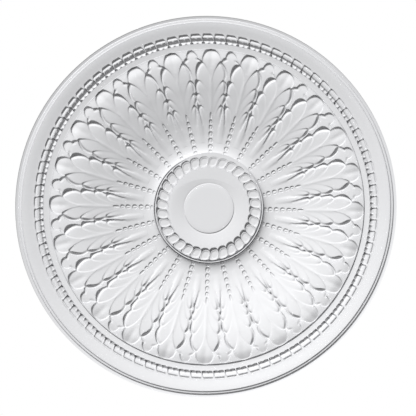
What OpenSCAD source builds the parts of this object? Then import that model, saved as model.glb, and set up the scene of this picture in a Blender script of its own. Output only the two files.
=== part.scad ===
// Ceiling rose: one moulded casting with a flat back, a canopy disc, a ring of gadroons,
// a wreath of lobed leaves, a course of tongues and a stepped outer lip.
// Millimetres. The flat back lies on z = 0 and the ornament hangs below it, towards -z.

/* [Overall] */
// Diameter over the outer lip
rose_d = 780; // [600:10:1200]
// Diameter of the flat disc that a lamp canopy covers
disc_d = 100; // [60:2:160]

/* [Boss around the canopy disc] */
// How far the canopy disc stands off the ceiling
disc_h = 40; // [30:0.5:60]
// Step down from the dished ring to the canopy disc
disc_step = 1.5; // [0.5:0.5:4]
// Width of the dished ring between the canopy disc and the gadroons
dish_w = 33; // [15:1:45]
// How much the dished ring falls away outwards
dish_fall = 4; // [1:0.5:6]
// Length of one gadroon, measured outwards
gadroon_len = 21.5; // [18:0.5:40]
// How far a gadroon stands above the groove outside it
gadroon_rise = 9; // [4:0.5:14]
// Number of gadroons
gadroon_n = 32; // [20:1:44]
// How far the gadroons lean sideways, in degrees
gadroon_lean = 12; // [0:1:25]
// Gap between neighbouring gadroons at their inner ends
gadroon_gap = 0.5; // [0.2:0.1:2]
// How far the ring of gadroons is turned from the middle of a leaf, in degrees
gadroon_turn = 3.6; // [0:0.1:9]
// Width of the thin raised ring outside the gadroons
ring_w = 5.5; // [4:0.5:12]
// Width of the groove on each side of the thin ring
groove_w = 0.5; // [0.4:0.1:4]
// Depth of the groove below the outer edge of the dished ring
groove_drop = 1; // [0.5:0.5:3]
// Width of the rounded bank that climbs to the crest of the leaves
bank_w = 20; // [10:1:30]
// How far the bank climbs
bank_rise = 9; // [5:0.5:16]

/* [Leaf field] */
// Width of the rounded crest
crest_w = 4; // [2:0.5:8]
// How far the ground between the leaves stands off the ceiling at its outer edge
ground_out_h = 13; // [8:0.5:20]
// Depth of the ground below the crest, just outside the crest
ground_in_drop = 4.5; // [3:0.5:12]
// Width of the level ground beyond the leaf heads
ground_flat_w = 16; // [8:1:30]
// Number of leaves
leaf_n = 24; // [16:1:32]
// How far a leaf stands above the ground
leaf_rise = 4; // [2:0.5:8]
// How far each pair of lobes stands above the pair outside it
lobe_step = 1.2; // [0.5:0.1:2]
// How far the small leaves behind stand above the ground
back_leaf_rise = 2.5; // [1:0.5:5]
// Smallest gap between two neighbouring leaves
leaf_gap = 0.6; // [0.3:0.1:2]
// Radius of the largest pearl on a midrib
pearl_r = 6.2; // [3:0.1:8]
// Radius of the smallest pearl on a midrib
pearl_min_r = 4; // [2:0.1:6]
// How far a pearl stands above the leaf
pearl_rise = 3; // [1:0.5:4]
// Number of pearls on a midrib
pearl_n = 5; // [3:1:8]
// Length of the chain of pearls, between the middles of the first and the last
chain_len = 51; // [40:1:70]

/* [Outer border] */
// Width of the flat fillet outside the leaves
fillet_w = 11; // [6:1:20]
// How far the fillet stands off the ceiling
fillet_h = 17; // [14:0.5:26]
// Length of one tongue, measured outwards
tongue_len = 23; // [12:1:32]
// How far a tongue stands off the ceiling at its inner end
tongue_h = 20; // [16:0.5:30]
// How much a tongue falls away outwards
tongue_fall = 4; // [1:0.5:6]
// Number of tongues
tongue_n = 90; // [60:1:110]
// Gap between neighbouring tongues
tongue_gap = 1.6; // [0.8:0.1:3]
// How far the course of tongues is turned from the middle of a leaf, in degrees
tongue_turn = 2.7; // [0:0.1:4]
// Width of the sloping fascia outside the tongues
fascia_w = 19; // [10:1:30]
// How far the fascia stands off the ceiling at its inner edge
fascia_in_h = 12; // [10:0.5:18]
// How far the fascia stands off the ceiling at its outer edge
fascia_out_h = 8.5; // [6:0.5:10]
// Width of each of the two small steps inside the outer lip
lip_step_w = 4.5; // [2:0.5:8]
// Height of each of the two small steps inside the outer lip
lip_step_h = 2; // [1:0.5:3]
// Radius of the rounded outer lip
lip_r = 3.5; // [2:0.5:5]
// How far the rounded lip stands above the steps
lip_rise = 1; // [0.5:0.5:2]

/* [Hidden] */
$fn = 96;
ring_fn = 192;
bead_fn = 48;

// Radii, from the middle outwards.
disc_r = disc_d / 2;
dish_out_r = disc_r + dish_w;
gadroon_out_r = dish_out_r + gadroon_len;
ring_in_r = gadroon_out_r + groove_w;
ring_out_r = ring_in_r + ring_w;
bank_in_r = ring_out_r + groove_w;
field_in_r = bank_in_r + bank_w;
ground_in_r = field_in_r + crest_w;

// Radii, from the outer edge inwards.
rose_r = rose_d / 2;
lip_in_r = rose_r - 2 * lip_r;
fascia_out_r = lip_in_r - 2 * lip_step_w;
tongue_out_r = fascia_out_r - fascia_w;
tongue_in_r = tongue_out_r - tongue_len;
field_out_r = tongue_in_r - fillet_w;
field_w = field_out_r - field_in_r;

// Heights off the ceiling.
dish_h = disc_h + disc_step;
valley_h = dish_h - dish_fall;
groove_h = valley_h - groove_drop;
gadroon_top = groove_h + gadroon_rise;
crest_h = groove_h + bank_rise;
lip_h = fascia_out_h + 2 * lip_step_h;
lip_mid_h = lip_h + lip_rise - lip_r;

// Half the angle that one leaf, and one tongue, takes up.
leaf_half = 180 / leaf_n;
tongue_half = 180 / tongue_n;

// How finely a leaf's, a small leaf's and a tongue's outlines are drawn.
leaf_steps = 32;
back_leaf_sides = 14;
arch_sides = 8;
bend_step = 15;

// Where a leaf ends, and where its blade ends under its head, as shares of the field's width.
leaf_end = 0.992;
blade_end = 0.9;

// Where a small leaf starts, as a share of the field's width, and its half width, as a share
// of the half pitch.
back_leaf_start = 0.5;
back_leaf_width = 0.24;

// Share of a tongue's length that its round end takes up, how far its root laps into the fillet
// and how far its round end stays clear of the fascia.
tongue_bow = 1 / 3;
tongue_lap = 1;
tongue_clear = 1;

// Height at which raised ornament starts, inside the body.
root_h = fascia_out_h / 2;

// Lobes of a leaf from its head to its stem. Each row gives the middle of the lobe as a share
// of the half pitch and of the field's width, then its half width and half length as the
// same shares.
lobe_rows = [
    [0.00, 0.87, 0.46, 0.122],
    [0.45, 0.74, 0.36, 0.135],
    [0.58, 0.59, 0.34, 0.098],
    [0.64, 0.46, 0.32, 0.080],
    [0.60, 0.34, 0.32, 0.072]
];

// Half width of a leaf's blade between its lobes: share of the field's width, share of the
// half pitch.
blade_line = [[0.00, 0.60], [0.24, 0.74], [0.36, 0.72], [0.60, 0.44], [0.90, 0.20]];

// Height of the ground between the leaves at radius r.
function ground_h(r) =
    let (fall_out_r = field_out_r - ground_flat_w)
    let (share = max(0, min(1, (r - ground_in_r) / (fall_out_r - ground_in_r))))
    (crest_h - ground_in_drop) * (1 - share) + ground_out_h * share;

// Point at radius r, turned sideways by an angle from the +y axis.
function polar(r, angle) = [r * sin(angle), r * cos(angle)];

// Half width of one lobe at a share of the field's width, or 0 where the lobe isn't.
function lobe_width(row, share) =
    let (reach = (share - row[1]) / row[3])
    abs(reach) < 1 ? row[0] + row[2] * sqrt(1 - reach * reach) : 0;

// Half width of a leaf at a share of the field's width, as a share of the half pitch. The gap
// between neighbours stays open.
function leaf_width(share) =
    let (gap_share = leaf_gap / 2 / (field_r(share) * PI / leaf_n))
    let (blade = share < blade_end ? lookup(share, blade_line) : 0)
    min(1 - gap_share, max(blade, max([for (row = lobe_rows) lobe_width(row, share)])));

// Radius at a share of the leaf field's width.
function field_r(share) = field_in_r + share * field_w;

// Solid of revolution from the back up to a line of [radius, height] points.
module turned(line) {
    last = len(line) - 1;
    rotate_extrude($fn = ring_fn)
        polygon(concat([[line[0][0], 0]], line, [[line[last][0], 0]]));
}

// Body of the rose without its leaves, gadroons and tongues.
module body() {
    step = [for (i = [0:1]) [fascia_out_r + i * lip_step_w, fascia_out_h + i * lip_step_h]];
    bank = [for (a = [0:bend_step:90]) [field_in_r - bank_w * cos(a), groove_h + bank_rise * sin(a)]];
    turned(concat(
        [[0, disc_h], [disc_r, disc_h], [disc_r, dish_h], [dish_out_r, valley_h]],
        [[gadroon_out_r, groove_h]],
        bank,
        [[ground_in_r, ground_h(ground_in_r)]],
        [[field_out_r - ground_flat_w, ground_out_h], [field_out_r, ground_out_h]],
        [[field_out_r, fillet_h], [tongue_in_r, fillet_h]],
        [[tongue_in_r, fascia_in_h], [tongue_out_r, fascia_in_h]],
        [for (s = step) each [s, [s[0], s[1] + lip_step_h]]],
        [[rose_r - lip_r, lip_h]]
    ));
    lip();
    thin_ring();
}

// Rounded outer lip with a straight edge down to the ceiling.
module lip() {
    rotate_extrude($fn = ring_fn)
        union() {
            translate([rose_r - lip_r, lip_mid_h]) circle(r = lip_r, $fn = bead_fn);
            translate([lip_in_r, 0]) square([2 * lip_r, lip_mid_h]);
        }
}

// Thin half-round ring between the gadroons and the bank.
module thin_ring() {
    rotate_extrude($fn = ring_fn)
        translate([(ring_in_r + ring_out_r) / 2, groove_h]) circle(d = ring_w, $fn = bead_fn);
}

// Outline of one leaf with its lobes.
module leaf_outline() {
    shares = [for (i = [0:leaf_steps]) leaf_end * i / leaf_steps];
    right = [for (s = shares) polar(field_r(s), leaf_half * leaf_width(s))];
    left = [for (i = [leaf_steps - 1:-1:0]) polar(field_r(shares[i]), -leaf_half * leaf_width(shares[i]))];
    polygon(concat(right, left));
}

// Outline of the small leaf that shows between two large ones.
module back_leaf_outline() {
    tip_r = field_out_r - groove_w;
    root_r = field_r(back_leaf_start);
    mid_r = (tip_r + root_r) / 2;
    polygon([for (i = [0:back_leaf_sides - 1])
        let (t = 360 * i / back_leaf_sides)
        polar(mid_r + (tip_r - mid_r) * cos(t), leaf_half * back_leaf_width * sin(t))
    ]);
}

// Outline of one tongue, round at its outer end.
module tongue_outline() {
    half_w = tongue_half * (1 - tongue_gap / (2 * PI * tongue_in_r / tongue_n));
    end_r = tongue_out_r - tongue_clear;
    bow_r = end_r - tongue_len * tongue_bow;
    polygon(concat(
        [polar(tongue_in_r - tongue_lap, -half_w), polar(tongue_in_r - tongue_lap, half_w)],
        [for (i = [0:arch_sides])
            let (a = 180 * i / arch_sides)
            polar(bow_r + (end_r - bow_r) * sin(a), half_w * cos(a))
        ]
    ));
}

// What an outline fills up to a line of [radius, height] points. It starts inside the body.
module raised(line) {
    intersection() {
        translate([0, 0, root_h]) linear_extrude(height = crest_h) children();
        turned(line);
    }
}

// Turns its children round the rose n times, starting at the angle start.
module around(n, start = 0) {
    for (i = [0:n - 1])
        rotate(start + i * 360 / n) children();
}

// Top line of leaves that stand above the ground by rise, with a step of the height drop down
// at the tip of each pair of lobes.
function leaf_top(rise, drop) = concat(
    [[field_in_r - crest_w / 2, ground_h(ground_in_r) + rise]],
    [for (i = [len(lobe_rows) - 1:-1:1])
        let (tip_r = field_r(lobe_rows[i][1] + lobe_rows[i][3]))
        each [[tip_r, ground_h(tip_r) + rise + drop], [tip_r, ground_h(tip_r) + rise]]
    ],
    [[field_out_r - ground_flat_w, ground_out_h + rise + drop]],
    [[field_out_r - groove_w / 2, ground_out_h + rise + drop]]
);

// Large lobed leaves, and the small leaves that show between them.
module leaves() {
    raised(leaf_top(leaf_rise, lobe_step)) around(leaf_n) leaf_outline();
    raised(back_leaf_top()) around(leaf_n, leaf_half) back_leaf_outline();
}

// Top line of the small leaves.
function back_leaf_top() = [
    for (r = [ground_in_r, field_out_r - ground_flat_w, field_out_r - groove_w / 2])
        [r, ground_h(r) + back_leaf_rise]
];

// Chain of pearls on the midrib of one leaf, which grow towards the crest.
module pearl_chain() {
    for (i = [0:pearl_n - 1]) {
        share = i / (pearl_n - 1);
        r = field_in_r + crest_w / 2 + chain_len * share;
        size = pearl_r + (pearl_min_r - pearl_r) * share;
        translate([0, r, ground_h(r) + leaf_rise + pearl_rise - size]) sphere(r = size, $fn = bead_fn);
    }
}

// One gadroon with round ends, leaning sideways.
module gadroon() {
    end_r = min(gadroon_len / 2 - groove_w / 2, gadroon_fit_r());
    straight = gadroon_len - 2 * end_r;
    mid_r = (dish_out_r + gadroon_out_r) / 2;
    translate([0, mid_r, gadroon_top - end_r])
        rotate(-gadroon_lean)
            rotate([90, 0, 0]) {
                cylinder(r = end_r, h = straight, center = true);
                for (z = [-straight / 2, straight / 2]) translate([0, 0, z]) sphere(r = end_r);
            }
}

// Largest gadroon radius that leaves the gap open at the inner ends.
function gadroon_fit_r() =
    let (s = sin(180 / gadroon_n))
    (dish_out_r * s - gadroon_gap / 2) / (1 - s);

// One course of tongues.
module tongues() {
    raised([
        [tongue_in_r - tongue_lap / 2, tongue_h],
        [tongue_in_r + tongue_len / 4, tongue_h],
        [tongue_in_r + tongue_len / 2, tongue_h - tongue_fall],
        [tongue_out_r + tongue_lap, tongue_h - tongue_fall]
    ])
        around(tongue_n, -tongue_turn) tongue_outline();
}

// The whole casting, turned over so that it hangs below its flat back.
module ceiling_rose() {
    color("white")
        rotate([180, 0, 0])
            union() {
                body();
                leaves();
                around(leaf_n) pearl_chain();
                around(gadroon_n, -gadroon_turn) gadroon();
                tongues();
            }
}

ceiling_rose();
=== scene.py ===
"""Looks of a moulded ceiling rose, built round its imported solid.

The rose hangs below a ceiling: its flat back lies on z = 0 and its ornament faces down, towards
-z. The pieces' sizes are millimetres and degrees, and the finishes and the studio are in metres.
Turns are counted from the axis of one large leaf, clockwise as seen from below.
"""

import logging
import math
from collections.abc import Callable, Sequence
from dataclasses import dataclass
from enum import Enum

import bmesh
import bpy
from mathutils import Matrix, Vector


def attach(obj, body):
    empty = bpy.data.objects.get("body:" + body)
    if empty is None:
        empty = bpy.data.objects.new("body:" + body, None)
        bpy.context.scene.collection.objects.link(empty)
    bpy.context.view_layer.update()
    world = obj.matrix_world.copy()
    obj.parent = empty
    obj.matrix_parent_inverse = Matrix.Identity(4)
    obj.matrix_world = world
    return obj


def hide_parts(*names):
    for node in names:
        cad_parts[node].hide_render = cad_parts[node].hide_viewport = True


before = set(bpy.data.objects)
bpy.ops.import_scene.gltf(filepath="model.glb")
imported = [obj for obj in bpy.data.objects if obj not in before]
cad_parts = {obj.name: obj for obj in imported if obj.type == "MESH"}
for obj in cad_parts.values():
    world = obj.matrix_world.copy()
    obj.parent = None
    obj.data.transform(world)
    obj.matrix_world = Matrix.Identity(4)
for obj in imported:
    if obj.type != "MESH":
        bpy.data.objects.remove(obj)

LOG = logging.getLogger("ceiling_rose")
MM = 0.001
NODE = "ceiling_rose"
BODY = "root"
MERGE = 1e-6
SEAM = 1e-4
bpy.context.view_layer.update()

Colour = tuple[float, float, float, float]
Outline = list[tuple[float, float]]
WHITE: Colour = (1.0, 1.0, 1.0, 1.0)


# ---------------------------------------------------------------------------------------------
# Shader values


@dataclass(frozen=True)
class Shade:
    """A shader socket that takes part in Python expressions."""

    tree: bpy.types.NodeTree
    socket: bpy.types.NodeSocket

    def math(self, operation: str, other: "Shade | float", flipped: bool = False) -> "Shade":
        """Joins this value and another with a Math node.

        Args:
            operation: The Math node's operation.
            other: A second value or a plain number.
            flipped: Whether the other value comes first.

        Returns:
            The node's result.
        """
        node = self.tree.nodes.new("ShaderNodeMath")
        node.operation = operation
        first, second = (1, 0) if flipped else (0, 1)
        self.tree.links.new(self.socket, node.inputs[first])
        if isinstance(other, Shade):
            self.tree.links.new(other.socket, node.inputs[second])
        else:
            node.inputs[second].default_value = other
        return Shade(self.tree, node.outputs["Value"])

    def __add__(self, other: "Shade | float") -> "Shade":
        """Adds a value."""
        return self.math("ADD", other)

    def __radd__(self, other: float) -> "Shade":
        """Adds this value to a number."""
        return self.math("ADD", other, flipped=True)

    def __sub__(self, other: "Shade | float") -> "Shade":
        """Takes a value away."""
        return self.math("SUBTRACT", other)

    def __rsub__(self, other: float) -> "Shade":
        """Takes this value away from a number."""
        return self.math("SUBTRACT", other, flipped=True)

    def __mul__(self, other: "Shade | float") -> "Shade":
        """Multiplies by a value."""
        return self.math("MULTIPLY", other)

    def __rmul__(self, other: float) -> "Shade":
        """Multiplies a number by this value."""
        return self.math("MULTIPLY", other, flipped=True)


@dataclass(frozen=True)
class ShaderBench:
    """Builds the nodes of one material or world."""

    tree: bpy.types.NodeTree

    def feed(self, socket: bpy.types.NodeSocket, value: object) -> None:
        """Links a shader value to a socket, or sets the socket to a plain value.

        Args:
            socket: The socket that takes the value.
            value: A Shade, a number or a colour.
        """
        if isinstance(value, Shade):
            self.tree.links.new(value.socket, socket)
        else:
            socket.default_value = value

    def node(self, kind: str, settings: dict | None = None, **values: object) -> bpy.types.Node:
        """Makes one node.

        Args:
            kind: The node's type.
            settings: Properties of the node, set before its sockets.
            values: What goes into its sockets, by name with _ for a space.

        Returns:
            The node.
        """
        node = self.tree.nodes.new(kind)
        for name, value in (settings or {}).items():
            setattr(node, name, value)
        for name, value in values.items():
            self.feed(node.inputs[name.replace("_", " ")], value)
        return node

    def out(self, node: bpy.types.Node, name: str) -> Shade:
        """Gives one of a node's outputs as a shader value."""
        return Shade(self.tree, node.outputs[name])

    def noise(self, place: Shade, scale: float, detail: float) -> Shade:
        """Gives a cloudy pattern from 0 to 1."""
        return self.out(self.node("ShaderNodeTexNoise", Vector=place, Scale=scale, Detail=detail), "Fac")

    def blend(self, share: Shade, low: Shade | Colour, high: Shade | Colour) -> Shade:
        """Mixes two colours.

        Args:
            share: How much of the second colour shows, from 0 to 1.
            low: The colour where the share is 0.
            high: The colour where the share is 1.

        Returns:
            The mixed colour.
        """
        mix = self.node("ShaderNodeMix", {"data_type": "RGBA"}, Factor=share)
        first, second = (socket for socket in mix.inputs if socket.type == "RGBA")
        self.feed(first, low)
        self.feed(second, high)
        return Shade(self.tree, next(socket for socket in mix.outputs if socket.type == "RGBA"))


@dataclass(frozen=True)
class MouldedFinish:
    """Matt white primer on a moulded skin, with painted shade that darkens its crevices. Depths are in
    metres.
    """

    name: str = "white_primer"
    light: Colour = (0.735, 0.738, 0.753, 1.0)
    dull: Colour = (0.70, 0.703, 0.716, 1.0)
    # Painted shade: the colour that crevices are darkened towards, and how far and how finely the occlusion
    # looks
    painted_crevice_shade: Colour = (0.3, 0.3, 0.31, 1.0)
    painted_shade_reach: float = 0.004
    painted_shade_samples: int = 6
    cloud_scale: float = 7.0
    cloud_share: float = 0.7
    speck_scale: float = 900.0
    skin_scale: float = 160.0
    roughness: float = 0.62
    roughness_spread: float = 0.12
    gloss: float = 0.28
    grain_depth: float = 0.00006
    skin_depth: float = 0.00012
    bump_strength: float = 0.5

    def build(self) -> bpy.types.Material:
        """Makes the material.

        Returns:
            A procedural material that reads Object coordinates.
        """
        material = bpy.data.materials.new(self.name)
        material.use_nodes = True
        bench = ShaderBench(material.node_tree)
        shader = material.node_tree.nodes["Principled BSDF"]
        place = bench.out(bench.node("ShaderNodeTexCoord"), "Object")
        cloud = bench.noise(place, self.cloud_scale, 4.0)
        speck = bench.noise(place, self.speck_scale, 2.0)
        skin = bench.noise(place, self.skin_scale, 3.0)
        mottle = cloud * self.cloud_share + speck * (1.0 - self.cloud_share)
        # Painted shade: an ambient occlusion node darkens the primer's colour in crevices, where shade falls
        openness = bench.node(
            "ShaderNodeAmbientOcclusion", {"samples": self.painted_shade_samples}, Distance=self.painted_shade_reach
        )
        tint = bench.blend(mottle, self.light, self.dull)
        shaded_tint = bench.blend(bench.out(openness, "AO"), self.painted_crevice_shade, tint)
        bench.feed(shader.inputs["Base Color"], shaded_tint)
        rough = (cloud - 0.5) * self.roughness_spread + self.roughness
        bench.feed(shader.inputs["Roughness"], rough)
        relief = speck * self.grain_depth + skin * self.skin_depth
        bump = bench.node("ShaderNodeBump", Height=relief, Strength=self.bump_strength, Distance=1.0)
        bench.feed(shader.inputs["Normal"], bench.out(bump, "Normal"))
        bench.feed(shader.inputs["Specular IOR Level"], self.gloss)
        return material


@dataclass(frozen=True)
class FloorFinish:
    """Plain pale studio floor."""

    name: str = "pale_floor"
    light: Colour = (0.86, 0.86, 0.86, 1.0)
    dull: Colour = (0.82, 0.82, 0.82, 1.0)
    cloud_scale: float = 0.8
    roughness: float = 0.9

    def build(self) -> bpy.types.Material:
        """Makes the material.

        Returns:
            A procedural material that reads Object coordinates.
        """
        material = bpy.data.materials.new(self.name)
        material.use_nodes = True
        bench = ShaderBench(material.node_tree)
        shader = material.node_tree.nodes["Principled BSDF"]
        place = bench.out(bench.node("ShaderNodeTexCoord"), "Object")
        cloud = bench.noise(place, self.cloud_scale, 2.0)
        bench.feed(shader.inputs["Base Color"], bench.blend(cloud, self.light, self.dull))
        bench.feed(shader.inputs["Roughness"], self.roughness)
        return material


# ---------------------------------------------------------------------------------------------
# Lines and profiles


def smooth(share: float) -> float:
    """Eases a share from 0 to 1, flat at both ends."""
    share = min(1.0, max(0.0, share))
    return share * share * (3.0 - 2.0 * share)


def polar(turn: float, radius: float) -> Vector:
    """Point of a leaf's plane at a turn in degrees from its axis, x across and y outwards."""
    angle = math.radians(turn)
    return Vector((radius * math.sin(angle), radius * math.cos(angle)))


@dataclass(frozen=True)
class Fall:
    """A value that changes smoothly with the radius. Its points are (radius, value)."""

    points: tuple[tuple[float, float], ...]

    def at(self, radius: float) -> float:
        """Gives the value at a radius.

        Args:
            radius: Distance from the rose's middle in millimetres.

        Returns:
            The value on a smooth line through the points, or the nearest end's value.
        """
        if radius <= self.points[0][0]:
            return self.points[0][1]
        for index in range(len(self.points) - 1):
            if radius <= self.points[index + 1][0]:
                return self.between(index, radius)
        return self.points[-1][1]

    def between(self, index: int, radius: float) -> float:
        """Gives the value between a point and the next, with slopes taken from their neighbours.

        Args:
            index: Which point comes before the radius.
            radius: Distance from the rose's middle in millimetres.

        Returns:
            The value of a cubic curve.
        """
        (r0, v0), (r1, v1) = self.points[index], self.points[index + 1]
        before = self.points[index - 1] if index else self.points[0]
        after = self.points[index + 2] if index + 2 < len(self.points) else self.points[-1]
        span = r1 - r0
        rise0 = (v1 - before[1]) / (r1 - before[0]) * span
        rise1 = (after[1] - v0) / (after[0] - r0) * span
        t = (radius - r0) / span
        t2, t3 = t * t, t * t * t
        start = (2 * t3 - 3 * t2 + 1) * v0 + (t3 - 2 * t2 + t) * rise0
        return start + (3 * t2 - 2 * t3) * v1 + (t3 - t2) * rise1


# ---------------------------------------------------------------------------------------------
# Pieces


@dataclass
class Casting:
    """One part of the moulding's surface: it becomes a single object."""

    finish: bpy.types.Material

    def close(self, mesh: bmesh.types.BMesh, name: str, soften: float = 40.0) -> bpy.types.Object:
        """Turns a finished bmesh into a piece of the rose.

        Args:
            mesh: The closed shape, in metres, in the rose's own frame. It is freed.
            name: The piece's name.
            soften: Faces that meet at less than this angle, in degrees, shade as one surface.

        Returns:
            The object.
        """
        bmesh.ops.remove_doubles(mesh, verts=mesh.verts[:], dist=MERGE)
        bmesh.ops.recalc_face_normals(mesh, faces=mesh.faces[:])
        limit = math.radians(soften)
        for face in mesh.faces:
            face.smooth = True
        for edge in mesh.edges:
            edge.smooth = edge.calc_face_angle(math.pi) < limit
        data = bpy.data.meshes.new(name)
        mesh.to_mesh(data)
        mesh.free()
        data.materials.append(self.finish)
        piece = bpy.data.objects.new(name, data)
        bpy.context.scene.collection.objects.link(piece)
        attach(piece, BODY)
        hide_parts(NODE)
        return piece


def hang(mesh: bmesh.types.BMesh) -> None:
    """Turns a shape that stands up from z = 0 in millimetres over, so that it hangs in metres.

    Args:
        mesh: The shape, with x across, y outwards and z off the ceiling.
    """
    over = Matrix.Diagonal((-MM, MM, -MM, 1.0))
    bmesh.ops.transform(mesh, matrix=over, verts=mesh.verts[:])


def ring_of(mesh: bmesh.types.BMesh, count: int, start: float) -> None:
    """Repeats a shape all round the rose.

    Args:
        mesh: One copy, in millimetres, on the +y axis.
        count: How many copies there are.
        start: Turn of the first copy in degrees, clockwise as seen from below.
    """
    first = Matrix.Rotation(math.radians(-start), 4, "Z")
    bmesh.ops.transform(mesh, matrix=first, verts=mesh.verts[:])
    bmesh.ops.spin(
        mesh,
        geom=mesh.verts[:] + mesh.edges[:] + mesh.faces[:],
        cent=(0.0, 0.0, 0.0),
        axis=(0.0, 0.0, 1.0),
        dvec=(0.0, 0.0, 0.0),
        angle=2.0 * math.pi * (count - 1) / count,
        steps=count - 1,
        use_merge=False,
        use_duplicate=True,
    )


def root_down(mesh: bmesh.types.BMesh, floor: Callable[[float], float], ring: bool = False) -> None:
    """Gives a skin its sides and underside, so that it is rooted in the body.

    Args:
        mesh: An open skin in millimetres.
        floor: Height of the underside at a radius.
        ring: Whether the skin goes all round, with an inner and an outer rim.
    """
    bmesh.ops.remove_doubles(mesh, verts=mesh.verts[:], dist=SEAM)
    rim = [edge for edge in mesh.edges if edge.is_boundary]
    made = bmesh.ops.extrude_edge_only(mesh, edges=rim)["geom"]
    for vert in made:
        if isinstance(vert, bmesh.types.BMVert):
            vert.co.z = floor(math.hypot(vert.co.x, vert.co.y))
    bottom = [edge for edge in mesh.edges if edge.is_boundary]
    if ring:
        bmesh.ops.bridge_loops(mesh, edges=bottom)
    else:
        bmesh.ops.holes_fill(mesh, edges=bottom, sides=0)


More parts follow.
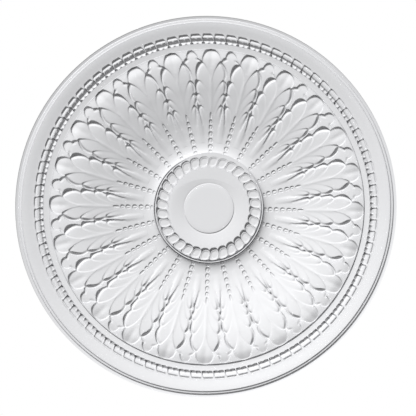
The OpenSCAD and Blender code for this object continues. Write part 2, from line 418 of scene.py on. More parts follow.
@dataclass
class TurnedBody(Casting):
    """The body that everything grows from: disc, dish, grooves, ground, fillet, fascia, lip."""

    steps: int = 384
    disc_r: float = 50.0
    disc_h: float = 40.0
    dish_h: float = 41.4
    gadroon_in_r: float = 83.0
    valley_h: float = 37.4
    ledge_in_r: float = 89.0
    ledge_mid_r: float = 95.0
    ledge_out_r: float = 99.4
    ledge_rise: float = 2.3
    groove_in_r: float = 102.0
    groove_h: float = 33.0
    ring_mid_r: float = 108.2
    ring_top_h: float = 39.6
    ring_r: float = 1.2
    flare_in_r: float = 110.3
    flare_out_r: float = 131.0
    flare_power: float = 0.62
    crest_h: float = 46.0
    ground_in_r: float = 140.0
    ground_drop: float = 2.0
    fillet_in_r: float = 322.0
    fillet_h: float = 17.6
    fillet_out_r: float = 333.2
    tongue_floor_h: float = 12.5
    fascia_in_r: float = 352.6
    fascia_out_r: float = 378.0
    fascia_out_h: float = 8.4
    first_step_h: float = 10.6
    second_step_h: float = 13.3
    lip_mid_r: float = 388.4
    lip_mid_h: float = 11.1
    lip_r: float = 1.6
    back_chamfer: float = 0.8

    def profile(self) -> Outline:
        """Gives the section from the middle of the disc to the middle of the back.

        Returns:
            Points as (radius, height off the ceiling).
        """
        ring_h = self.ring_top_h - self.ring_r
        line = self.disc() + self.dish() + self.ledge()
        line += self.arc(self.ring_mid_r, ring_h, self.ring_r, 190.0, -10.0, 11)
        line += [(self.ring_mid_r + self.ring_r + 0.3, self.groove_h)]
        line += self.flare()
        line += self.ground()
        line += self.border()
        line += self.arc(self.lip_mid_r, self.lip_mid_h, self.lip_r, 78.0, 0.0, 7)
        return line + self.back()

    def disc(self) -> Outline:
        """Section of the flat disc and of the low step round it, with its corners eased.

        Returns:
            Points as (radius, height).
        """
        flat = [(r, self.disc_h) for r in (0.0, 0.4 * self.disc_r, 0.8 * self.disc_r, self.disc_r - 1.0)]
        return flat + [
            (self.disc_r - 0.2, self.disc_h + 0.15),
            (self.disc_r + 0.5, self.dish_h - 0.15),
            (self.disc_r + 1.3, self.dish_h),
        ]

    def dish(self) -> Outline:
        """Section of the hollow ring between the disc and the gadroons.

        Returns:
            Points as (radius, height).
        """
        fall = self.dish_h - self.valley_h
        points = []
        for r in self.spread(self.disc_r + 2.5, self.gadroon_in_r, 14):
            share = (r - self.disc_r) / (self.gadroon_in_r - self.disc_r)
            points.append((r, self.dish_h - fall * (1.25 * share - 0.25 * share**3)))
        return points

    def ledge(self) -> Outline:
        """Section under the gadroons, down to the floor of the groove outside them.

        Returns:
            Points as (radius, height).
        """
        return [
            (self.ledge_in_r - 2.4, self.valley_h),
            (self.ledge_in_r, self.valley_h + self.ledge_rise),
            (self.ledge_mid_r, self.valley_h + self.ledge_rise + 0.1),
            (self.ledge_out_r, self.valley_h + self.ledge_rise),
            (self.groove_in_r, self.groove_h),
            (self.ring_mid_r - self.ring_r - 0.4, self.groove_h),
        ]

    def flare(self) -> Outline:
        """Section of the rounded bank from the groove up to the crest of the leaves.

        Returns:
            Points as (radius, height).
        """
        width = self.flare_out_r - self.flare_in_r
        radii = [self.flare_out_r - width * math.cos(math.radians(angle)) for angle in range(0, 91, 6)]
        return [(r, self.bank_h(r)) for r in radii]

    @classmethod
    def bank_h(cls, radius: float) -> float:
        """Gives the height of the rounded bank.

        Args:
            radius: Distance from the rose's middle, no more than the crest's.

        Returns:
            The height in millimetres.
        """
        share = min(1.0, (cls.flare_out_r - radius) / (cls.flare_out_r - cls.flare_in_r))
        bank = (1.0 - share**2) ** (cls.flare_power / 2.0)
        return cls.groove_h + (cls.crest_h - cls.groove_h) * bank

    def ground(self) -> Outline:
        """Section from the crest outwards, just under the leaves.

        Returns:
            Points as (radius, height).
        """
        crest = [(self.flare_out_r + 1.5, self.crest_h), (self.flare_out_r + 3.0, self.crest_h - 2.0)]
        radii = self.spread(self.ground_in_r, self.fillet_in_r - 0.2, 24)
        return crest + [(r, LeafField.ground.at(r) - self.ground_drop) for r in radii]

    def border(self) -> Outline:
        """Section of the fillet, the floor under the tongues, the fascia and the small steps.

        Returns:
            Points as (radius, height).
        """
        fillet, floor, fascia = self.fillet_h, self.tongue_floor_h, self.fascia_out_h
        return [
            (self.fillet_in_r + 0.2, fillet - 0.4),
            (self.fillet_in_r + 0.6, fillet),
            (self.fillet_in_r + 4.0, fillet - 0.1),
            (self.fillet_in_r + 8.0, fillet - 0.5),
            (self.fillet_out_r, fillet - 1.0),
            (self.fillet_out_r + 3.0, floor + 1.0),
            (self.fillet_out_r + 6.0, floor),
            (self.fascia_in_r - 1.0, floor),
            (self.fascia_in_r + 6.0, floor - 1.1),
            (self.fascia_in_r + 12.0, floor - 2.2),
            (self.fascia_out_r - 0.6, fascia - 0.2),
            (self.fascia_out_r, fascia - 0.2),
            (self.fascia_out_r + 1.0, self.first_step_h - 0.1),
            (self.fascia_out_r + 1.5, self.first_step_h + 0.1),
            (self.fascia_out_r + 4.4, self.first_step_h - 0.1),
            (self.fascia_out_r + 5.0, self.first_step_h),
            (self.fascia_out_r + 6.0, self.second_step_h - 0.1),
            (self.fascia_out_r + 6.5, self.second_step_h + 0.1),
            (self.fascia_out_r + 7.2, self.second_step_h),
            (self.lip_mid_r - 0.6, self.second_step_h - 0.4),
        ]

    def back(self) -> Outline:
        """Section of the outer wall and of the flat back, in to its middle.

        Returns:
            Points as (radius, height).
        """
        rose_r = self.lip_mid_r + self.lip_r
        wall = [(rose_r, self.lip_mid_h / 2), (rose_r, self.back_chamfer), (rose_r - self.back_chamfer, 0.0)]
        return wall + [(share * rose_r, 0.0) for share in (0.75, 0.5, 0.25, 0.0)]

    @staticmethod
    def spread(start: float, end: float, count: int) -> list[float]:
        """Gives evenly spread values from start to end."""
        return [start + (end - start) * i / (count - 1) for i in range(count)]

    @staticmethod
    def arc(mid_r: float, mid_h: float, radius: float, start: float, end: float, count: int) -> Outline:
        """Gives points along an arc of the section.

        Args:
            mid_r: Radius of the arc's middle in the rose.
            mid_h: Height of the arc's middle.
            radius: The arc's own radius.
            start: Angle of its first point, in degrees from the outward direction.
            end: Angle of its last point.
            count: Number of points.

        Returns:
            Points as (radius, height).
        """
        points = []
        for angle in TurnedBody.spread(start, end, count):
            a = math.radians(angle)
            points.append((mid_r + radius * math.cos(a), mid_h + radius * math.sin(a)))
        return points

    def build(self) -> bpy.types.Object:
        """Spins the section into the closed body.

        Returns:
            The body.
        """
        mesh = bmesh.new()
        verts = [mesh.verts.new((0.0, r, h)) for r, h in self.profile()]
        edges = [mesh.edges.new(pair) for pair in zip(verts, verts[1:])]
        bmesh.ops.spin(
            mesh,
            geom=verts + edges,
            cent=(0.0, 0.0, 0.0),
            axis=(0.0, 0.0, 1.0),
            dvec=(0.0, 0.0, 0.0),
            angle=2.0 * math.pi,
            steps=self.steps,
            use_merge=True,
            use_duplicate=False,
        )
        hang(mesh)
        return self.close(mesh, "turned_body", soften=28.0)


@dataclass
class Gadroons(Casting):
    """Ring of plump pillows that lean sideways round the dish."""

    count: int = 32
    start: float = 3.6
    mid_r: float = 94.0
    half_len: float = 11.0
    half_wide: float = 9.7
    lean: float = 12.5
    boxy: float = 2.7
    segments: int = 32
    tiers: tuple[tuple[float, float], ...] = (
        (0.0, 5.7), (0.2, 5.7), (0.45, 5.7), (0.62, 5.6), (0.69, 5.4), (0.74, 5.0), (0.78, 4.6),
        (0.82, 4.5), (0.86, 4.6), (0.91, 4.5), (0.95, 3.8), (0.975, 2.5), (0.99, 0.7), (1.0, -1.0),
    )
    root: float = 1.0

    def build(self) -> bpy.types.Object:
        """Shapes one pillow, ring by ring from its top, and repeats it.

        Returns:
            The whole ring.
        """
        mesh = bmesh.new()
        turns = len(self.tiers) - 1
        bmesh.ops.create_uvsphere(mesh, u_segments=self.segments, v_segments=2 * turns, radius=1.0)
        for vert in mesh.verts:
            vert.co = self.moved(vert.co, turns)
        ring_of(mesh, self.count, self.start)
        hang(mesh)
        return self.close(mesh, "gadroons")

    def moved(self, spot: Vector, turns: int) -> Vector:
        """Moves one point of a unit sphere to its place on the pillow.

        Args:
            spot: The point.
            turns: How many rings the sphere has from its pole to its waist.

        Returns:
            The point in millimetres.
        """
        x, y, z = spot
        flat = math.hypot(x, y)
        tier = round(math.atan2(flat, abs(z)) / (math.pi / 2.0) * turns)
        share, height = self.tiers[tier]
        if z < -SEAM:
            height = self.tiers[-1][1] - self.root
        swell = (abs(x) ** self.boxy + abs(y) ** self.boxy) ** (1.0 / self.boxy)
        fill = share / swell if swell > MERGE else 0.0
        out = y * fill * self.half_len
        taper = (self.mid_r + out) / self.mid_r
        side = x * fill * self.half_wide * taper + out * math.tan(math.radians(self.lean))
        return Vector((side, self.mid_r + out, TurnedBody.valley_h + height))


@dataclass(frozen=True)
class Knot:
    """A point of a lobe's edge, by turn and radius, with how high its rim and its step stand there."""

    turn: float
    radius: float
    rim: float = 0.0
    step: float = 0.0


@dataclass(frozen=True)
class Nearness:
    """Where a point lies from a lobe's edge: distance inwards, and rim and step heights there."""

    depth: float
    rim: float
    step: float


@dataclass
class Lobe:
    """A lobe of a leaf: an edge line that stands proud, round a hollow face.

    The knots are the visible edge, from its outer root round the tip to the end of its fold. The
    closing points, as (turn, radius), lead back to the first knot inside the leaf. The slope is
    half the width of the bank at the edge.
    """

    knots: Sequence[Knot]
    closing: Sequence[tuple[float, float]]
    slope: float = 0.85
    splits: int = 5

    def __post_init__(self) -> None:
        """Draws the edge line, the closed outline and the box round it."""
        self.line = self.drawn(self.knots)
        self.outline = [(x, y) for x, y, _, _ in self.line]
        self.outline += [tuple(polar(turn, radius)) for turn, radius in self.closing]
        self.low = tuple(min(values) - self.slope for values in zip(*self.outline))
        self.high = tuple(max(values) + self.slope for values in zip(*self.outline))

    def drawn(self, knots: Sequence[Knot]) -> list[tuple[float, float, float, float]]:
        """Runs a smooth line through the knots.

        Args:
            knots: The knots.

        Returns:
            Points as (x, y, rim, step).
        """
        rows = []
        for knot in knots:
            spot = polar(knot.turn, knot.radius)
            rows.append((spot.x, spot.y, knot.rim, knot.step))
        line = []
        for index in range(len(rows) - 1):
            r1, r2 = rows[index], rows[index + 1]
            r0 = rows[max(0, index - 1)]
            r3 = rows[min(len(rows) - 1, index + 2)]
            for part in range(self.splits):
                line.append(tuple(self.spline(v, part / self.splits) for v in zip(r0, r1, r2, r3)))
        return line + [rows[-1]]

    @staticmethod
    def spline(values: tuple[float, float, float, float], t: float) -> float:
        """Gives a smooth value between the second and third of four values.

        Args:
            values: The four values.
            t: From 0 at the second to 1 at the third.

        Returns:
            The Catmull-Rom value.
        """
        a, b, c, d = values
        bend = (2 * a - 5 * b + 4 * c - d) * t * t + (3 * b - a - 3 * c + d) * t * t * t
        return 0.5 * (2 * b + (c - a) * t + bend)

    def holds(self, x: float, y: float) -> bool:
        """Tells whether a point is inside the outline.

        Args:
            x: Across the leaf.
            y: Outwards.

        Returns:
            True inside, by counting the edges to one side of the point.
        """
        inside = False
        x0, y0 = self.outline[-1]
        for x1, y1 in self.outline:
            if (y0 > y) != (y1 > y) and x < (x1 - x0) * (y - y0) / (y1 - y0) + x0:
                inside = not inside
            x0, y0 = x1, y1
        return inside

    def nearness(self, x: float, y: float) -> Nearness | None:
        """Finds where a point lies from the edge.

        Args:
            x: Across the leaf.
            y: Outwards.

        Returns:
            The nearness, or None where the lobe is too far off to matter.
        """
        if not (self.low[0] < x < self.high[0] and self.low[1] < y < self.high[1]):
            return None
        best = (math.inf, 0.0, 0.0)
        for (x0, y0, a0, b0), (x1, y1, a1, b1) in zip(self.line, self.line[1:]):
            dx, dy = x1 - x0, y1 - y0
            t = min(1.0, max(0.0, ((x - x0) * dx + (y - y0) * dy) / (dx * dx + dy * dy)))
            gap = (x0 + dx * t - x) ** 2 + (y0 + dy * t - y) ** 2
            if gap < best[0]:
                best = (gap, a0 + (a1 - a0) * t, b0 + (b1 - b0) * t)
        distance = math.sqrt(best[0])
        return Nearness(distance if self.holds(x, y) else -distance, best[1], best[2])


@dataclass
class LeafField:
    """Heights of the field of leaves, for half of one large leaf and half of one small leaf."""

    half_pitch: float = 7.5
    face: Fall = Fall((
        (124.0, 45.9), (128.1, 46.0), (134.2, 45.9), (140.3, 45.5), (146.5, 45.0), (152.6, 44.2),
        (158.7, 43.2), (164.8, 42.2), (171.0, 41.0), (177.1, 39.6), (185.2, 37.5), (193.4, 35.5),
        (199.5, 34.0), (207.7, 32.0), (220.0, 29.1), (234.2, 25.9), (246.5, 23.1), (258.8, 20.8),
        (264.9, 19.9), (271.0, 19.1), (277.1, 18.5), (285.3, 17.9), (295.5, 17.5),
    ))
    ground: Fall = Fall((
        (124.0, 45.9), (128.1, 46.0), (134.2, 45.6), (140.3, 45.0), (146.5, 44.2), (152.6, 43.1),
        (158.7, 41.9), (164.8, 40.6), (171.0, 39.2), (177.1, 37.7), (185.2, 35.8), (193.4, 34.0),
        (199.5, 32.7), (207.7, 30.9), (222.0, 27.6), (240.4, 23.8), (258.8, 20.1), (264.9, 19.1),
        (271.0, 18.1), (277.1, 17.2), (285.3, 15.9), (293.5, 14.7), (301.6, 13.6), (305.7, 13.4),
        (309.8, 13.7), (313.9, 14.2), (318.0, 14.7), (320.8, 14.9),
    ))
    head: Fall = Fall((
        (246.5, 23.1), (254.7, 21.3), (258.8, 20.3), (264.9, 19.3), (271.0, 18.4), (277.1, 17.6),
        (285.3, 16.5), (289.4, 16.0), (295.5, 15.7), (301.6, 15.9), (305.7, 16.6), (309.8, 17.8),
        (313.9, 19.3), (316.9, 20.4), (320.0, 20.8),
    ))
    small: Fall = Fall((
        (240.4, 23.8), (258.8, 20.2), (271.0, 18.4), (281.2, 17.1), (289.4, 16.5), (297.5, 16.4),
        (301.6, 16.6), (305.7, 17.0), (309.8, 17.7), (313.9, 18.7), (316.9, 19.2),
    ))
    keel: Fall = Fall((
        (281.2, 0.0), (287.3, 0.6), (295.5, 1.2), (307.8, 1.3), (315.9, 1.2), (320.0, 0.8),
    ))
    midrib: Fall = Fall((
        (193.4, 0.0), (201.6, 0.5), (222.0, 0.5), (238.3, 0.6), (252.6, 0.8), (260.8, 0.5), (269.0, 0.0),
    ))
    keel_turn: float = 1.1
    midrib_turn: float = 0.75
    rim_top: float = 1.8
    rim_w: float = 3.9
    rim_gain: float = 1.2
    step_w: float = 7.0
    step_gain: float = 0.75

    def __post_init__(self) -> None:
        """Draws the lobes."""
        self.blade = Lobe(
            [Knot(5.7, 119.9), Knot(5.7, 150.5), Knot(5.75, 177.1), Knot(5.8, 193.4), Knot(5.4, 209.7)],
            [(-1.0, 209.7), (-1.0, 119.9)],
            slope=3.4,
        )
        self.small_leaf = Lobe(
            [
                Knot(-0.6, 318.4), Knot(0.0, 318.6), Knot(0.5, 318.0), Knot(1.0, 316.3),
                Knot(1.5, 313.5), Knot(1.85, 309.8), Knot(2.0, 306.1), Knot(2.05, 303.7, 0.8),
                Knot(2.35, 302.6, 1.0), Knot(2.85, 301.0, 0.6), Knot(3.3, 298.4, 0.3), Knot(3.8, 295.5),
                Knot(4.3, 289.4),
            ],
            [(4.2, 262.8), (2.0, 240.4), (-1.0, 240.4), (-1.0, 303.7)],
        )
        self.head_lobe = Lobe(
            [
                Knot(-0.8, 319.6), Knot(0.0, 319.8), Knot(0.9, 319.2), Knot(1.6, 318.0),
                Knot(2.1, 316.1), Knot(2.6, 313.5), Knot(3.0, 310.0), Knot(3.35, 305.7),
                Knot(3.5, 301.6), Knot(3.55, 296.5), Knot(3.7, 289.4),
            ],
            [(4.2, 262.8), (4.0, 246.5), (-1.0, 246.5), (-1.0, 303.7)],
            slope=1.3,
        )
        self.side_lobes = [
            Lobe(
                [
                    Knot(6.0, 238.3), Knot(6.1, 250.6, 0.3), Knot(6.25, 260.8, 0.9, 0.1),
                    Knot(6.5, 266.9, 1.5, 0.2), Knot(6.5, 273.0, 2.3, 0.2), Knot(6.2, 279.2, 3.3, 0.3),
                    Knot(5.75, 284.7, 4.0, 0.3), Knot(5.1, 289.8, 4.0, 0.4), Knot(4.35, 293.9, 2.8, 0.5),
                    Knot(3.65, 295.5, 1.5, 0.5), Knot(3.1, 294.1, 0.7, 0.4), Knot(2.6, 291.0, 0.3, 0.3),
                    Knot(2.0, 285.9, 0.0, 0.2), Knot(1.5, 280.8), Knot(1.0, 273.5), Knot(0.6, 265.9),
                    Knot(0.3, 259.8), Knot(0.0, 254.7),
                ],
                [(-1.0, 246.5), (-1.0, 197.5), (1.0, 197.5), (5.6, 230.2)],
            ),
            Lobe(
                [
                    Knot(6.4, 209.7), Knot(6.75, 222.0, 0.3), Knot(7.0, 231.2, 0.7, 0.1),
                    Knot(7.2, 237.3, 1.3, 0.2), Knot(7.3, 243.4, 2.3, 0.3), Knot(7.2, 249.6, 3.3, 0.5),
                    Knot(6.8, 254.5, 3.4, 0.8), Knot(6.15, 258.1, 2.4, 1.1), Knot(5.5, 259.4, 1.3, 1.4),
                    Knot(4.85, 257.9, 0.6, 1.3), Knot(4.15, 254.5, 0.3, 1.0), Knot(3.4, 248.9, 0.1, 0.7),
                    Knot(2.6, 241.8, 0.0, 0.45), Knot(1.8, 233.8, 0.0, 0.35),
                    Knot(1.1, 225.1, 0.0, 0.25), Knot(0.4, 213.8),
                ],
                [(0.3, 201.6), (5.8, 201.6)],
            ),
            Lobe(
                [
                    Knot(6.3, 189.3), Knot(6.7, 199.5, 0.3), Knot(6.95, 207.7, 0.8, 0.1),
                    Knot(7.1, 212.4, 1.5, 0.2), Knot(7.6, 216.5, 2.6, 0.4), Knot(8.0, 221.0, 3.6, 0.6),
                    Knot(8.0, 225.3, 3.8, 0.9), Knot(7.6, 229.1, 3.2, 1.2), Knot(7.0, 231.8, 2.2, 1.4),
                    Knot(6.35, 232.6, 1.3, 1.4), Knot(5.7, 231.4, 0.6, 1.2), Knot(5.0, 228.1, 0.3, 0.9),
                    Knot(4.2, 222.8, 0.1, 0.6), Knot(3.4, 215.5, 0.0, 0.45), Knot(2.6, 206.5, 0.0, 0.3),
                    Knot(1.8, 196.7, 0.0, 0.2), Knot(1.2, 187.3),
                ],
                [(1.2, 179.1), (5.6, 179.1)],
            ),
            Lobe(
                [
                    Knot(5.9, 168.9), Knot(6.3, 179.1, 0.3), Knot(6.65, 187.3, 0.7, 0.1),
                    Knot(6.95, 193.4, 1.4, 0.2), Knot(7.1, 198.5, 2.3, 0.4), Knot(7.1, 202.4, 2.9, 0.7),
                    Knot(6.75, 205.7, 2.7, 1.0), Knot(6.1, 207.5, 1.9, 1.3), Knot(5.4, 207.5, 1.2, 1.3),
                    Knot(4.7, 205.7, 0.6, 1.0), Knot(4.0, 202.0, 0.3, 0.7), Knot(3.3, 195.9, 0.1, 0.4),
                    Knot(2.7, 187.3, 0.0, 0.25), Knot(2.2, 177.1),
                ],
                [(2.2, 166.9), (5.2, 166.9)],
            ),
        ]

    def height(self, turn: float, radius: float) -> float:
        """Gives the height off the ceiling of one point of the field.

        Args:
            turn: Degrees from the large leaf's axis, from 0 to half the pitch.
            radius: Distance from the rose's middle in millimetres.

        Returns:
            The height in millimetres.
        """
        spot = polar(turn, radius)
        across = polar(self.half_pitch - turn, radius)
        height = self.ground.at(radius)
        face = self.face.at(radius)
        height = self.over(height, face, self.blade, spot)
        height = self.over(height, self.small.at(radius), self.small_leaf, across)
        keel = self.keel.at(radius) * math.exp(-((turn / self.keel_turn) ** 2))
        height = self.over(height, self.head.at(radius) + keel, self.head_lobe, spot)
        groove = self.midrib.at(radius) * math.exp(-((turn / self.midrib_turn) ** 2))
        for lobe in self.side_lobes:
            height = self.over(height, face, lobe, spot)
        return height - groove

    def over(self, below: float, face: float, lobe: Lobe, spot: Vector) -> float:
        """Lays a lobe over what is below it.

        Args:
            below: Height of what is below.
            face: Height of the lobe's own face.
            lobe: The lobe.
            spot: The point.

        Returns:
            The height of the upper surface.
        """
        near = lobe.nearness(spot.x, spot.y)
        if near is None or near.depth <= -lobe.slope:
            return below
        share = smooth((near.depth + lobe.slope) / (2.0 * lobe.slope))
        rim = self.rim_gain * near.rim * (1.0 - smooth((near.depth - self.rim_top) / self.rim_w))
        step = self.step_gain * near.step * (1.0 - smooth((near.depth - self.rim_top) / self.step_w))
        return below + (face + rim + step - below) * share


class Stretch(Enum):
    """Ring-shaped stretches of the leaves: name, inner and outer radius, columns and rows of faces."""

    STEMS = ("leaf_stems", 131.0, 185.0, 18, 40)
    LOBES = ("leaf_lobes", 185.0, 240.0, 27, 58)
    SHOULDERS = ("leaf_shoulders", 240.0, 283.0, 34, 50)
    HEADS = ("leaf_heads", 283.0, 323.2, 38, 46)


@dataclass
class LeafBand(Casting):
    """One stretch of the field of leaves, all round the rose."""

    field: LeafField
    stretch: Stretch
    count: int = 24
    root: float = 3.0

    def build(self) -> bpy.types.Object:
        """Shapes half a leaf, mirrors it and repeats it all round.

        Returns:
            The whole band.
        """
        name, in_r, out_r, columns, rows = self.stretch.value
        mesh = bmesh.new()
        made = bmesh.ops.create_grid(mesh, x_segments=columns, y_segments=rows, size=1.0)
        for vert in made["verts"]:
            turn = (vert.co.x + 1.0) / 2.0 * self.field.half_pitch
            radius = in_r + (vert.co.y + 1.0) / 2.0 * (out_r - in_r)
            spot = polar(turn, radius)
            vert.co = (spot.x, spot.y, self.field.height(turn, radius))
        whole = mesh.verts[:] + mesh.edges[:] + mesh.faces[:]
        bmesh.ops.mirror(mesh, geom=whole, axis="X", merge_dist=SEAM)
        ring_of(mesh, self.count, 0.0)
        root_down(mesh, lambda radius: self.field.ground.at(radius) - self.root, ring=True)
        hang(mesh)
        return self.close(mesh, name)


@dataclass(frozen=True)
class Bead:
    """One bead of a chain: a rounded cushion with a pit in its top."""

    mid_r: float
    half_len: float
    half_wide: float
    rise: float = 2.0
    pit: float = 1.1
    pit_wide: float = 0.42
    pit_long: float = 0.75
    boxy: float = 2.6
    crown: float = 0.75
    segments: int = 18
    rings: int = 12

    def add_to(self, mesh: bmesh.types.BMesh, field: LeafField) -> None:
        """Adds the bead to a bmesh.

        Args:
            mesh: The bmesh it goes into.
            field: The field that it sits on.
        """
        made = bmesh.ops.create_uvsphere(mesh, u_segments=self.segments, v_segments=self.rings, radius=1.0)
        for vert in made["verts"]:
            x, y, z = vert.co
            swell = (abs(x) ** self.boxy + abs(y) ** self.boxy) ** (1.0 / self.boxy)
            fill = math.hypot(x, y) / swell if swell else 1.0
            dent = self.pit * math.exp(-((x / self.pit_wide) ** 2) - (y / self.pit_long) ** 2)
            radius = self.mid_r + y * fill * self.half_len
            lift = math.copysign(abs(z) ** self.crown, z) * self.rise - (dent if z > 0.0 else 0.0)
            vert.co = (x * fill * self.half_wide, radius, self.seat(field, radius) + lift)

    @staticmethod
    def seat(field: LeafField, radius: float) -> float:
        """Gives the height of the surface under a bead: the leaf, or the bank nearer the middle.

        Args:
            field: The field of leaves.
            radius: Distance from the rose's middle in millimetres.

        Returns:
            The height in millimetres.
        """
        on_leaf = radius >= TurnedBody.flare_out_r
        return field.face.at(radius) if on_leaf else TurnedBody.bank_h(radius)


@dataclass
class Pearls(Casting):
    """Chains of beads on the midribs."""

    field: LeafField
    count: int = 24
    beads: tuple[Bead, ...] = (
        Bead(186.7, 6.6, 2.1, 2.0, 0.0),
        Bead(173.6, 4.6, 3.2, 2.8, 1.6),
        Bead(162.4, 5.3, 3.7, 2.9, 1.9),
        Bead(149.1, 5.2, 4.2, 2.9, 2.0),
        Bead(136.2, 5.0, 4.5, 2.9, 2.0),
        Bead(124.0, 4.6, 4.7, 2.8, 1.9),
        Bead(115.0, 2.8, 3.6, 2.0, 0.8),
    )

    def build(self) -> bpy.types.Object:
        """Shapes one chain and repeats it.

        Returns:
            All the chains.
        """
        mesh = bmesh.new()
        for bead in self.beads:
            bead.add_to(mesh, self.field)
        ring_of(mesh, self.count, 0.0)
        hang(mesh)
        return self.close(mesh, "pearls")


@dataclass
class Tongues(Casting):
    """Course of leaning tongues inside the fascia."""

    count: int = 90
    start: float = 2.7
    in_r: float = 333.2
    cap_r: float = 346.2
    out_r: float = 351.7
    half_wide: float = 10.8
    lean: float = 8.0
    cap_share: float = 0.38
    cap_full: float = 0.75
    edge_round: float = 1.2
    eye_r: float = 335.2
    eye_size: float = 1.9
    notch_tip_r: float = 345.0
    notch_side: float = 1.4
    notch_splay: float = 0.36
    notch_depth: float = 3.6
    levels: tuple[tuple[float, float], ...] = (
        (333.2, 15.9), (334.6, 18.0), (336.0, 19.2), (337.2, 20.2), (338.2, 20.3), (339.2, 19.2),
        (340.6, 16.9), (342.0, 15.1), (344.0, 14.2), (346.4, 13.8), (347.6, 14.0), (349.1, 15.8),
        (349.9, 16.1), (350.7, 15.6), (351.7, 13.2),
    )
    columns: int = 22
    rows: int = 36
    root: float = 2.0

    def height(self, radius: float) -> float:
        """Gives the height of a tongue's middle line.

        Args:
            radius: Distance from the rose's middle in millimetres.

        Returns:
            The height in millimetres.
        """
        for (r0, h0), (r1, h1) in zip(self.levels, self.levels[1:]):
            if radius <= r1:
                return h0 + (h1 - h0) * smooth((radius - r0) / (r1 - r0))
        return self.levels[-1][1]

    def place(self, across: float, along: float) -> Vector:
        """Gives one point of a tongue's skin.

        Args:
            across: From -1 to 1.
            along: From 0 at the fillet to 1 at the rounded end.

        Returns:
            The point in millimetres.
        """
        straight = 1.0 - self.cap_share
        turn = max(0.0, (along - straight) / self.cap_share) * math.pi / 2.0
        base = self.in_r + (self.cap_r - self.in_r) * min(1.0, along / straight)
        radius = base + (self.out_r - self.cap_r) * math.sin(turn)
        wide = self.half_wide * (math.cos(turn) ** self.cap_full) * base / self.cap_r
        bite = self.eye_size**2 - (radius - self.eye_r) ** 2
        wide -= math.sqrt(bite) if bite > 0.0 else 0.0
        x = across * wide + (self.cap_r - radius) * math.tan(math.radians(self.lean))
        inside = min(1.0, (1.0 - abs(across)) * wide / self.edge_round)
        height = self.height(radius) - self.edge_round * (1.0 - math.sqrt(1.0 - (1.0 - inside) ** 2))
        splay = (self.notch_tip_r - radius) * self.notch_splay
        if splay > 0.0:
            height -= min(self.notch_depth, splay) * smooth(1.0 - abs(x - self.notch_side) / splay)
        return Vector((x, radius, height))

    def build(self) -> bpy.types.Object:
        """Shapes one tongue and repeats it.

        Returns:
            The whole course.
        """
        mesh = bmesh.new()
        made = bmesh.ops.create_grid(mesh, x_segments=self.columns, y_segments=self.rows, size=1.0)
        for vert in made["verts"]:
            across = math.sin(vert.co.x * math.pi / 2.0)
            vert.co = self.place(across, (vert.co.y + 1.0) / 2.0)
        root_down(mesh, lambda radius: TurnedBody.tongue_floor_h - self.root)
        ring_of(mesh, self.count, self.start)
        hang(mesh)
        return self.close(mesh, "tongues")


# ---------------------------------------------------------------------------------------------
# Studio


class Lamp(Enum):
    """The soft boxes of the studio: place and size in metres, and power in watts."""

    KEY = ((-3.02, -6.2, -5.79), 1.1, 1005.0)
    TOP = ((-0.7, -1.2, 2.0), 1.6, 20.0)


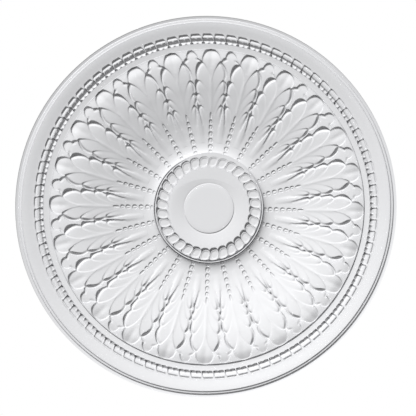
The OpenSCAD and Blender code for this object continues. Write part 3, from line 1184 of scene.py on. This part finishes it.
@dataclass
class Studio:
    """Floor, lights, surroundings and camera. The lens, the sensor and the aim are millimetres."""

    floor_z: float = -6.4
    floor_size: float = 40.0
    ambient: float = 0.205
    sky_angle: float = 40.0
    sky_energy: float = 2.0
    lens: float = 100.0
    sensor: float = 36.0
    distance: float = 2.36
    aim_drop: float = 10.0
    lean_left: float = 4.0
    lean_up: float = 2.0
    roll: float = 1.3

    def floor(self) -> bpy.types.Object:
        """Makes the pale floor far below the rose, which throws no light back up at it.

        Returns:
            The floor.
        """
        mesh = bmesh.new()
        bmesh.ops.create_grid(mesh, x_segments=4, y_segments=4, size=self.floor_size / 2.0)
        bmesh.ops.translate(mesh, vec=(0.0, 0.0, self.floor_z), verts=mesh.verts[:])
        data = bpy.data.meshes.new("floor")
        mesh.to_mesh(data)
        mesh.free()
        data.materials.append(FloorFinish().build())
        floor = bpy.data.objects.new("floor", data)
        bpy.context.scene.collection.objects.link(floor)
        floor.visible_diffuse = False
        return floor

    def lights(self) -> None:
        """Hangs the soft boxes, which the camera doesn't see, and the soft light from above."""
        for lamp in Lamp:
            place, size, power = lamp.value
            data = bpy.data.lights.new(lamp.name.lower(), "AREA")
            data.shape = "DISK"
            data.size = size
            data.energy = power
            light = bpy.data.objects.new(lamp.name.lower(), data)
            light.location = place
            light.rotation_euler = (-Vector(place)).to_track_quat("-Z", "Y").to_euler()
            light.visible_camera = False
            bpy.context.scene.collection.objects.link(light)
        sky = bpy.data.lights.new("sky", "SUN")
        sky.angle = math.radians(self.sky_angle)
        sky.energy = self.sky_energy
        bpy.context.scene.collection.objects.link(bpy.data.objects.new("sky", sky))

    def surroundings(self) -> None:
        """Makes an even room: white where the camera looks, softer as a light."""
        world = bpy.data.worlds.new("studio")
        bpy.context.scene.world = world
        world.use_nodes = True
        world.node_tree.nodes.clear()
        bench = ShaderBench(world.node_tree)
        seen_by = bench.node("ShaderNodeLightPath")
        room = bench.node("ShaderNodeBackground", Color=WHITE, Strength=self.ambient)
        backdrop = bench.node("ShaderNodeBackground", Color=WHITE, Strength=1.0)
        mix = bench.node("ShaderNodeMixShader")
        out = bench.node("ShaderNodeOutputWorld")
        bench.feed(mix.inputs[0], bench.out(seen_by, "Is Camera Ray"))
        bench.feed(mix.inputs[1], bench.out(room, "Background"))
        bench.feed(mix.inputs[2], bench.out(backdrop, "Background"))
        bench.feed(out.inputs["Surface"], bench.out(mix, "Shader"))

    def camera(self) -> bpy.types.Object:
        """Looks up at the rose from just off its axis.

        Returns:
            The camera.
        """
        data = bpy.data.cameras.new("camera")
        data.lens = self.lens
        data.sensor_width = self.sensor
        camera = bpy.data.objects.new("camera", data)
        bpy.context.scene.collection.objects.link(camera)
        aim = Vector((0.0, 0.0, -self.aim_drop * MM))
        side = Vector((math.tan(math.radians(self.lean_left)), math.tan(math.radians(self.lean_up)), -1.0))
        camera.location = aim + side.normalized() * self.distance
        look = (aim - camera.location).normalized()
        up = Vector((math.sin(math.radians(self.roll)), math.cos(math.radians(self.roll)), 0.0))
        right = look.cross(up).normalized()
        true_up = right.cross(look)
        turn = Matrix((right, true_up, -look)).transposed()
        camera.rotation_euler = turn.to_euler()
        bpy.context.scene.camera = camera
        return camera

    def build(self) -> None:
        """Sets up the whole studio."""
        self.camera()
        self.floor()
        self.lights()
        self.surroundings()
        bpy.context.scene.view_settings.view_transform = "Standard"
        bpy.context.scene.view_settings.look = "None"


def report(piece: bpy.types.Object) -> None:
    """Logs a piece's name and how many triangles it has."""
    triangles = sum(len(face.vertices) - 2 for face in piece.data.polygons)
    LOG.info("%s: %d triangles", piece.name, triangles)


def main() -> None:
    """Builds the studio and every piece of the rose, in order."""
    logging.basicConfig(level=logging.INFO, format="%(name)s: %(message)s")
    Studio().build()
    finish = MouldedFinish().build()
    report(TurnedBody(finish).build())
    report(Gadroons(finish).build())
    field = LeafField()
    for stretch in Stretch:
        report(LeafBand(finish, field, stretch).build())
    report(Pearls(finish, field).build())
    report(Tongues(finish).build())


if __name__ == "__main__":
    main()
